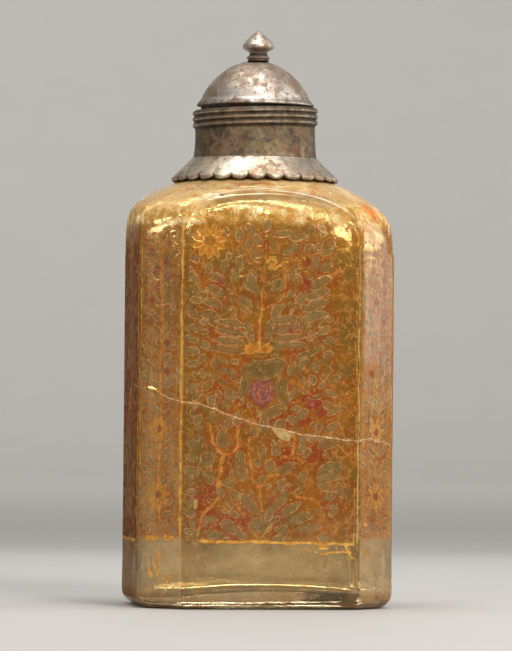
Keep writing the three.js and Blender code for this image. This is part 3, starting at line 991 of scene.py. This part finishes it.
class Finish:
    """A material and the few ways in which this bottle's materials are put together."""

    def __init__(self, name):
        self.material = bpy.data.materials.new(name)
        self.material.use_nodes = True
        self.tree = self.material.node_tree
        self.tree.nodes.clear()
        self.place = self.node("ShaderNodeTexCoord", output="Object")

    def node(self, kind, settings=None, sockets=None, output=0):
        made = self.tree.nodes.new(kind)
        for name, value in (settings or {}).items():
            setattr(made, name, value)
        for key, value in (sockets or {}).items():
            if isinstance(value, Wire):
                self.tree.links.new(value.socket, made.inputs[key])
            else:
                made.inputs[key].default_value = value
        return Wire(self, made.outputs[output]) if len(made.outputs) else made

    def vector(self, operation, *values, output=0):
        return self.node("ShaderNodeVectorMath", {"operation": operation}, dict(enumerate(values)), output)

    def field(self, name):
        return self.node("ShaderNodeAttribute", {"attribute_name": name}, output="Fac")

    def noise(self, size, detail=2.0, rough=0.5, distort=0.0, shift=0.0, squash=None):
        """Noise about 0.5, with bumps about size millimetres across."""
        vector = self.vector("ADD", self.place, (shift, shift * 0.7, shift * 1.3)) if shift else self.place
        if squash:
            vector = self.vector("MULTIPLY", vector, squash)
        return self.node("ShaderNodeTexNoise", None, {
            "Vector": vector, "Scale": 1 / (size * METRE), "Detail": detail, "Roughness": rough,
            "Distortion": distort})

    def fade(self, value, low, high, start=0.0, end=1.0):
        """Goes smoothly from start at low to end at high."""
        return self.node("ShaderNodeMapRange", {"interpolation_type": "SMOOTHSTEP"},
                         {0: value, 1: low, 2: high, 3: start, 4: end})

    def blot(self, at, radius, raggedness):
        """A ragged spot round a place in millimetres."""
        away = self.vector("DISTANCE", self.place, tuple(c * METRE for c in at), output="Value")
        return self.fade(away / METRE + (raggedness - 0.5) * 8.0, radius, radius * 0.5)

    def mix(self, share, a, b):
        """A colour between two. Each is a wire, a linear colour, or three numbers as on a screen."""
        a, b = (colour(*c) if isinstance(c, tuple) and len(c) == 3 else c for c in (a, b))
        return self.node("ShaderNodeMix", {"data_type": "RGBA"}, {0: share, 6: a, 7: b}, output=2)

    def layers(self, tint, *coats):
        """A tint with coats of colour over it, one after the other, each where its own mask says."""
        for mask, coat in coats:
            tint = self.mix(mask, tint, coat)
        return tint

    def between(self, share, a, b):
        return self.node("ShaderNodeMix", {"data_type": "FLOAT"}, {0: share, 2: a, 3: b})

    def either(self, a, b):
        return self.node("ShaderNodeMath", {"operation": "MAXIMUM"}, {0: a, 1: b})

    def bump(self, height, strength, depth):
        return self.node("ShaderNodeBump", None, {
            "Height": height, "Strength": strength, "Distance": depth * METRE})

    def principled(self, **sockets):
        sockets = {name.replace("_", " "): value for name, value in sockets.items()}
        return self.node("ShaderNodeBsdfPrincipled", None, sockets)

    def finish(self, shader):
        self.node("ShaderNodeOutputMaterial", None, {"Surface": shader})
        return self.material


HONEY = (0.945, 0.785, 0.49, 1.0)
STAIN = (0.86, 0.55, 0.16, 1.0)
PALE = (0.95, 0.83, 0.6, 1.0)


def bare_glass():
    f = Finish("bare_glass")
    seeds = f.fade(f.noise(0.8, 1.0, 0.55, shift=0.3), 0.74, 0.8)
    return f.finish(f.principled(
        Base_Color=HONEY, Roughness=0.01, IOR=1.5, Transmission_Weight=1.0,
        Normal=f.bump(f.noise(5.0, 2.0, 0.55) + seeds * 0.4, 0.2, 0.3),
    ))


def painted_glass():
    f = Finish("painted_glass")
    leaf, stem, bloom, star, line, panel, tone, purple, flush, olive, warm, loss = map(f.field, FIELDS)
    crack, height, narrow, round_ = map(f.field, ("crack", "height", "side", "round"))
    side = narrow * f.fade(height, 100, 92)
    broad = f.noise(14.0, 3.0, 0.55)
    patchy = f.noise(4.0, 4.0, 0.6, 0.6, shift=0.11)
    small = f.noise(1.7, 3.0, 0.6, 0.8, shift=0.19)
    fine = f.noise(0.9, 4.0, 0.65, shift=0.23)
    grit = f.noise(0.35, 2.0, 0.6, shift=0.41)
    worn = f.fade(f.noise(2.2, 5.0, 0.7, 0.8, shift=0.31), 0.56, 0.68)
    streaks = f.noise(2.0, 3.0, 0.6, shift=0.61, squash=(1.0, 1.0, 0.12))
    pale_streaks_and_sheen = f.fade(f.noise(1.5, 3.0, 0.6, shift=1.51, squash=(1.0, 1.0, 0.16)), 0.54, 0.62)
    shake = f.noise(1.6, 2.0, 0.55, shift=0.57) - 0.5
    faded = f.fade(f.noise(6.5, 4.0, 0.6, 0.8, shift=0.93), 0.36, 0.5, 0.3, 1.0)
    strayed = f.node("ShaderNodeTexNoise", None, {
        "Vector": f.vector("ADD", f.place, (0.27, 0.27, 0.27)), "Scale": 1 / (2.5 * METRE)}, "Color")
    strayed = f.vector("MULTIPLY_ADD", strayed, (1.6 * METRE,) * 3, f.place)
    net = f.node("ShaderNodeTexVoronoi", {"feature": "DISTANCE_TO_EDGE"}, {
        "Vector": strayed, "Scale": 1 / (1.9 * METRE)})

    def inside(distance, soft=0.16, grow=0.0):
        return f.fade(distance + shake * 0.2, soft + grow, grow - soft)

    def line_at(distance, wobble, wide, thin):
        return f.fade(abs(distance + shake * wobble), wide, thin)

    on_leaf = inside(leaf, 0.2) * f.fade(small + (patchy - 0.5), 0.35, 0.6, 0.45, 0.95)
    outline = line_at(leaf, 0.3, 0.27, 0.04) * f.fade(small, 0.36, 0.54, 0.15, 1.0) * faded
    on_stem = inside(stem, 0.2) * f.fade(small, 0.3, 0.45, 0.45, 1.0)
    on_bloom = inside(bloom, 0.55, 0.1)
    on_star = inside(star) * f.fade(small, 0.34, 0.5, 0.3, 1.0)
    star_line = line_at(star, 0.3, 0.26, 0.04) * f.fade(fine, 0.36, 0.5, 0.3, 1.0)
    petal_line = line_at(bloom + 1.3, 0.6, 0.36, 0.1) + line_at(bloom + 2.3, 0.6, 0.3, 0.1)
    on_line = inside(line, 0.14) * f.fade(patchy, 0.3, 0.42, 0.35, 1.0)
    ground = f.fade(panel + (patchy - 0.5) * 3.0, 0.9, -1.0)
    curl = f.fade(net + (fine - 0.5) * 0.06, 0.11, 0.02) * f.fade(small, 0.4, 0.56)
    curl = curl * f.fade(leaf, 0.1, 0.5) * f.fade(olive, -0.7, -0.2, 0.35, 1.0)

    # The colours of the ground
    ochre = f.mix(f.fade(height + (patchy - 0.5) * 20.0, 68, 80), (146, 88, 26), (164, 118, 40))
    amber = f.layers(
        f.mix(f.fade(broad, 0.4, 0.6), (158, 98, 30), (122, 92, 40)),
        (f.fade(patchy, 0.45, 0.6) * 0.75, (146, 76, 22)),
        (f.fade(height, 84, 100) * 0.6, (172, 118, 36)),
        (f.fade(small, 0.5, 0.62) * 0.5, (180, 112, 46)),
        (f.fade(flush + (small - 0.5) * 1.1, 0.3, 0.8) * 0.85, (146, 56, 26)),
        (f.fade(olive + (small - 0.5) * 0.6, 0.15, 0.8) * 0.8, (118, 92, 40)),
        (f.fade(olive + (small - 0.5) * 0.4, -0.3, -0.8) * 0.8, ochre),
        (curl * 0.55, (198, 140, 70)),
    )
    beige = f.layers(
        f.mix(f.fade(broad, 0.38, 0.62), (204, 154, 90), (182, 122, 62)),
        (f.fade(streaks, 0.42, 0.6) * 0.7, (194, 122, 52)),
        (f.fade(flush + (small - 0.5) * 1.1, 0.35, 0.9) * 0.8, (158, 80, 44)),
        # Pale cream streaks higher up: partly the paint's colour, partly a painted sheen
        (pale_streaks_and_sheen * f.fade(height, 46, 66) * 0.55, (232, 210, 160)),
        (curl * 0.5, (206, 170, 124)),
    )

    # The clear band below, and the shoulder above with its gilding
    haze = f.layers(
        f.mix(f.fade(broad, 0.38, 0.62), (178, 150, 98), (118, 82, 36)),
        (f.fade(warm, 0.6, 0.2) * 0.85, (196, 166, 124)),
        (f.fade(patchy, 0.5, 0.62) * 0.6, (172, 120, 54)),
        (f.fade(height, 14.0, 7.0) * 0.45, (206, 176, 118)),
        (f.fade(height, 6.0, 3.0) * 0.7, (172, 122, 58)),
    )
    gilt = f.layers(
        f.mix(f.fade(patchy, 0.42, 0.58), (206, 152, 68), (236, 206, 146)),
        (f.fade(small, 0.5, 0.62) * 0.6, (172, 112, 38)),
    )
    cream = f.layers(
        f.mix(f.fade(patchy, 0.42, 0.58), (236, 202, 144), (200, 154, 92)),
        (f.fade(small, 0.48, 0.66) * 0.5, (222, 172, 108)),
        (f.fade(f.noise(8.0, 3.0, 0.6, 0.8, shift=0.83), 0.58, 0.7) * 0.8, (206, 126, 54)),
    )
    top = f.mix(f.fade(height + (patchy - 0.5) * 8.0, 101, 106.5), gilt, cream)
    red_blot = f.blot((25.7, -19.1, 102.5), 4.4, small) * f.fade(fine, 0.36, 0.56, 0.5, 0.95)

    # The figures
    leaf_tint = f.layers(
        f.mix(tone, (108, 88, 46), (142, 116, 72)),
        (f.fade(patchy, 0.42, 0.6) * 0.6, (132, 94, 46)),
        (f.fade(small, 0.48, 0.62) * 0.5, (150, 126, 86)),
        (f.fade(grit, 0.55, 0.68) * 0.4, (84, 66, 34)),
        (f.fade(warm, 0.7, 0.2) * 0.75, f.mix(tone, (142, 118, 82), (166, 146, 112))),
    )
    halo = line_at(leaf - 0.55, 0.5, 0.42, 0.12) * f.fade(f.noise(3.4, 3.0, 0.6, shift=1.31), 0.44, 0.6)
    violet = f.layers(
        f.mix(f.fade(small, 0.42, 0.56), (110, 66, 76), (136, 66, 56)),
        (f.fade(fine, 0.5, 0.6) * 0.6, (178, 118, 98)),
    )
    red = f.mix(f.fade(fine, 0.4, 0.6), (158, 58, 40), (128, 50, 50))
    # A painted reflection: a dark patch in the thick glass of the foot, right of the front
    painted_foot_reflection = f.fade(abs(round_ - 15.5 + (patchy - 0.5) * 12.0), 8.0, 4.0)
    painted_foot_reflection = painted_foot_reflection * f.fade(abs(height - 3.3), 2.0, 0.9) * f.fade(fine, 0.3, 0.42)
    flaked = f.fade(loss + shake * 0.3, 0.15, -0.15)
    crack_line = line_at(crack, 0.2, 0.24, 0.08)
    under_crack = f.fade(crack, -1.6, 0.0) * f.fade(crack, 0.05, -0.1)
    # The narrow sides are browner, partly the paint's colour and partly painted shade, and their figures
    # fainter
    side_paint_and_shade = f.mix(ground, (120, 76, 34), (92, 46, 16))
    figures_in_side_shade = 1.0 - side * 0.4

    tint = f.layers(
        f.mix(f.fade(height, 94, 99), haze, top),
        (red_blot, (208, 116, 42)),
        (ground, f.mix(warm, beige, amber)),
        (side * 0.8 * f.fade(patchy, 0.3, 0.66, 1.1, 0.8), side_paint_and_shade),
        (halo * ground * figures_in_side_shade * 0.5, (158, 62, 40)),
        (on_leaf * figures_in_side_shade * 0.9, leaf_tint),
        (line_at(leaf + 0.62, 0.5, 0.3, 0.08) * small * 0.6, (166, 136, 92)),
        (outline * figures_in_side_shade * 0.7, f.mix(f.fade(fine, 0.4, 0.6), (184, 128, 74), (208, 162, 110))),
        (on_stem * figures_in_side_shade * 0.75, f.mix(f.fade(small, 0.38, 0.6), (178, 102, 34), (202, 136, 62))),
        (on_bloom * 0.82, f.mix(purple, red, violet)),
        (petal_line * f.fade(fine, 0.36, 0.54) * (0.6 - purple * 0.3), (206, 140, 96)),
        (on_star * 0.6, (200, 118, 34)),
        (star_line * figures_in_side_shade * 0.75, (218, 160, 70)),
        (on_line * 0.9, f.mix(f.fade(small, 0.4, 0.6), (200, 128, 36), (228, 174, 74))),
        (f.fade(grit, 0.62, 0.74) * 0.45, (78, 48, 22)),
        # Sparse pale specks: painted glints
        (f.fade(f.noise(0.55, 2.0, shift=1.07), 0.7, 0.74) * 0.7, (240, 212, 160)),
        (painted_foot_reflection * 0.9, f.mix(f.fade(grit, 0.45, 0.6), (34, 32, 26), (82, 74, 52))),
        (flaked * 0.9, f.mix(f.fade(small, 0.4, 0.6), (178, 146, 90), (204, 174, 118))),
        # The crack's pale line, its brighter bits painted glints
        (crack_line * 0.75, f.mix(f.fade(fine, 0.46, 0.6), (186, 138, 88), (236, 212, 172))),
        (under_crack * f.fade(patchy, 0.4, 0.6) * 0.3, (206, 166, 112)),
    )

    # How far the paint and the film of age hide the glass
    gilding = f.fade(small + (patchy - 0.5) * 0.6, 0.38, 0.56, 0.12, 0.6)
    gilding = gilding * f.fade(abs(height - 98.5), 6.5, 3.0)
    clear_cover = f.fade(height, 94, 104) * 0.2 + f.fade(patchy + (broad - 0.5), 0.36, 0.62, 0.24, 0.46)
    clear_cover = clear_cover + f.fade(warm, 0.6, 0.2) * 0.2 + f.fade(height, 6.0, 3.0) * 0.15 + gilding
    cover = f.between(ground, clear_cover, f.between(warm, 0.62, 0.76))
    cover = cover - worn * 0.25 + side * (0.45 - ground * 0.25) + flaked * 0.1
    for mask, strength in ((painted_foot_reflection, 0.95), (outline, 0.85), (on_stem, 0.93), (on_bloom, 0.93),
                           (on_star, 0.9), (on_line, 0.92), (crack_line, 0.9)):
        cover = f.either(cover, mask * strength)
    cover = f.node("ShaderNodeClamp", None, {"Value": cover, "Min": 0.1, "Max": 0.97})

    relief = on_stem * 0.6 + outline * 0.4 + on_star * 0.5 + fine * 0.5 + patchy * 1.2 - crack_line * 1.2
    normal = f.bump(relief, 0.3, 0.12)
    paint = f.principled(
        Base_Color=tint, Roughness=f.fade(worn + fine * 0.4 + side * 1.2, 0.2, 2.2, 0.35, 0.95), IOR=1.5,
        Coat_Weight=f.fade(narrow * f.fade(height, 109, 101), 0.0, 1.0, 0.5, 0.03), Coat_Roughness=0.05,
        Specular_IOR_Level=0.0, Normal=normal,
    )
    stained = f.mix(f.fade(height, 92, 100), f.mix(ground * warm, HONEY, STAIN), PALE)
    glass = f.principled(Base_Color=stained, Roughness=0.02, IOR=1.5, Transmission_Weight=1.0, Normal=normal)
    return f.finish(f.node("ShaderNodeMixShader", None, {0: cover, 1: glass, 2: paint}))


def silver(name, bright, middle, dark, stain_tint, specks, low_rough, high_rough):
    f = Finish(name)
    dirt_and_shade, stain = f.field("dirt_and_shade"), f.field("stain")
    broad = f.noise(9.0, 4.0, 0.6, 0.4)
    spots = f.noise(2.2, 4.0, 0.65, 0.5, shift=0.17)
    pits = f.noise(0.5, 3.0, 0.7, shift=0.37)
    scratches = f.noise(0.5, 2.0, shift=0.51, squash=(1.0, 1.0, 6.0))
    tarnish = f.fade(broad + (spots - 0.5) * 0.7 + stain * 0.16, 0.36, 0.66)
    tint = f.layers(
        f.mix(tarnish, bright, middle),
        (f.fade(spots + (pits - 0.5) * 0.5, 0.52, 0.74) * 0.6, dark),
        (stain * f.fade(broad + spots, 0.75, 1.15, 0.85, 0.45), stain_tint),
    )
    for i, (speck, low) in enumerate(specks):
        spread = f.noise(2.6 + 0.7 * (i % 3), 3.0, 0.6, 0.6, shift=0.71 + 0.17 * i)
        tint = f.mix(f.fade(spread, low - 0.06, low + 0.16) * (stain * 0.45 + 0.25), tint, speck)
    pitted = f.fade(pits + (spots - 0.5) * 0.3, 0.53, 0.68)
    # The hollows are darkened by soiling and by painted shade
    grime_and_shade = f.fade(dirt_and_shade + (spots - 0.5) * 0.7, 0.2, 0.95)
    tint = f.layers(tint, (pitted * 0.5, dark), (grime_and_shade * 0.92, (34, 26, 18)))
    rough = f.fade(tarnish + scratches * 0.35 + pitted * 0.3 + grime_and_shade * 0.6, 0.0, 1.6, low_rough, high_rough)
    relief = broad * 0.8 + spots * 0.35 - pitted * 0.25 + scratches * 0.06
    return f.finish(f.principled(
        Base_Color=tint, Metallic=f.fade(tarnish + pitted * 0.4 + grime_and_shade, 0.0, 1.8, 0.92, 0.45),
        Roughness=rough, Normal=f.bump(relief, 0.35, 0.2),
    ))


def tarnished_silver():
    specks = (((46, 38, 42), 0.48), ((126, 108, 58), 0.54), ((136, 84, 58), 0.56), ((74, 94, 74), 0.6),
              ((170, 150, 122), 0.6))
    return silver("tarnished_silver", (216, 204, 184), (172, 146, 116), (96, 74, 54), (92, 76, 54), specks,
                  0.38, 0.58)


def worn_silver():
    specks = (((120, 88, 64), 0.5), ((228, 206, 176), 0.58), ((112, 94, 98), 0.56))
    return silver("worn_silver", (216, 207, 194), (146, 125, 106), (86, 68, 52), (96, 80, 64), specks,
                  0.38, 0.6)


def floor_finish():
    f = Finish("pale_floor")
    grain = f.fade(f.noise(30.0, 3.0, 0.55), 0.3, 0.7) * 0.2
    return f.finish(f.principled(Base_Color=f.mix(grain, (182, 179, 174), (175, 172, 167)), Roughness=0.75))


# The bottle's pieces

glass = make_glass()
mount = make_mount()
lid = make_lid()
knob = make_knob()
for made, node, slot in ((glass, "glass_bottle", "painted_glass"), (mount, "neck_mount", "tarnished_silver"),
                         (lid, "domed_lid", "worn_silver"), (knob, "lid_knob", "worn_silver")):
    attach(made, "root")
    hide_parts(node)

# The floor, a wide round dish whose rim turns up into a backdrop on every side


def make_floor():
    flat, round_, top, segments = 2000, 700, 1900, 96
    profile = [(200, 0.0), (flat, 0.0)]
    bend = np.linspace(0.1, math.pi / 2, 16)
    profile += [(flat + round_ * math.sin(t), round_ * (1 - math.cos(t))) for t in bend]
    profile.append((flat + round_, top))
    angle = np.arange(segments) * 2 * math.pi / segments
    points = [(0, 0, 0)]
    pairs = [(j, (j + 1) % segments) for j in range(segments)]
    faces = [(0, 1 + j, 1 + k) for j, k in pairs]
    for i, (r, z) in enumerate(profile):
        points += [(r * math.cos(t), r * math.sin(t), z) for t in angle]
        low, high = 1 + i * segments, 1 + (i + 1) * segments
        if i < len(profile) - 1:
            faces += [(low + j, high + j, high + k, low + k) for j, k in pairs]
    made = mesh_object("floor", points, faces)
    made.data.materials.append(floor_finish())
    return made


make_floor()


# Light and camera

def lamp(name, place, target, size, power, tint=(1, 1, 1), spread=180, glossy=True):
    """A soft lamp that the camera doesn't see."""
    data = bpy.data.lights.new(name, "AREA")
    data.shape, data.size, data.size_y, data.energy, data.color = "RECTANGLE", size[0], size[1], power, tint
    data.spread = math.radians(spread)
    made = bpy.data.objects.new(name, data)
    made.location = place
    made.rotation_euler = (Vector(target) - Vector(place)).to_track_quat("-Z", "Y").to_euler()
    made.visible_camera = False
    made.visible_glossy = glossy
    bpy.context.scene.collection.objects.link(made)


middle = (0, 0, 0.075)
lamp("key", (0.35, -0.85, 0.7), middle, (0.42, 0.34), 8.0, (1.0, 0.97, 0.93))
lamp("fill", (-0.75, -0.85, 0.6), middle, (0.5, 0.45), 3.4, (1.0, 0.98, 0.95))
lamp("top", (-0.03, -0.04, 0.85), middle, (0.6, 0.4), 4.8)
lamp("right_edge", (0.75, 0.1, 0.3), middle, (0.3, 0.5), 1.1)
lamp("right_high", (0.7, -0.1, 0.6), middle, (0.4, 0.3), 1.4)
lamp("backdrop", (0.0, 0.9, 1.7), (0.2, 2.7, 0.35), (2.0, 0.5), 20, spread=130)
lamp("low_behind", (0.1, 0.62, 0.158), (0, 0, 0.05), (0.5, 0.036), 0.25, spread=60, glossy=False)

world = bpy.data.worlds.new("studio")
world.use_nodes = True
sky = world.node_tree.nodes["Background"]
sky.inputs["Color"].default_value = (0.95, 0.96, 1.0, 1.0)
sky.inputs["Strength"].default_value = 0.24
bpy.context.scene.world = world
bpy.context.scene.view_settings.view_transform = "Standard"

# The camera stands level with the middle of the body, turned so that the left side just shows
camera_distance = 1.2
camera_turn = math.radians(8.5)
camera_height = 0.054
frame_height = 0.16984
aim_height = 0.073
aim_side = -0.00055
camera_roll = math.radians(0.57)
sensor = 36.0

data = bpy.data.cameras.new("camera")
data.sensor_width = sensor
data.lens = sensor * camera_distance / frame_height
camera = bpy.data.objects.new("camera", data)
right = Vector((math.cos(camera_turn), -math.sin(camera_turn), 0))
back = Vector((-math.sin(camera_turn), -math.cos(camera_turn), 0))
camera.location = back * camera_distance + Vector((0, 0, camera_height))
aim = Vector((0, 0, aim_height)) + right * aim_side
camera.rotation_euler = (aim - camera.location).to_track_quat("-Z", "Y").to_euler()
camera.rotation_euler.rotate_axis("Z", camera_roll)
bpy.context.scene.collection.objects.link(camera)
bpy.context.scene.camera = camera
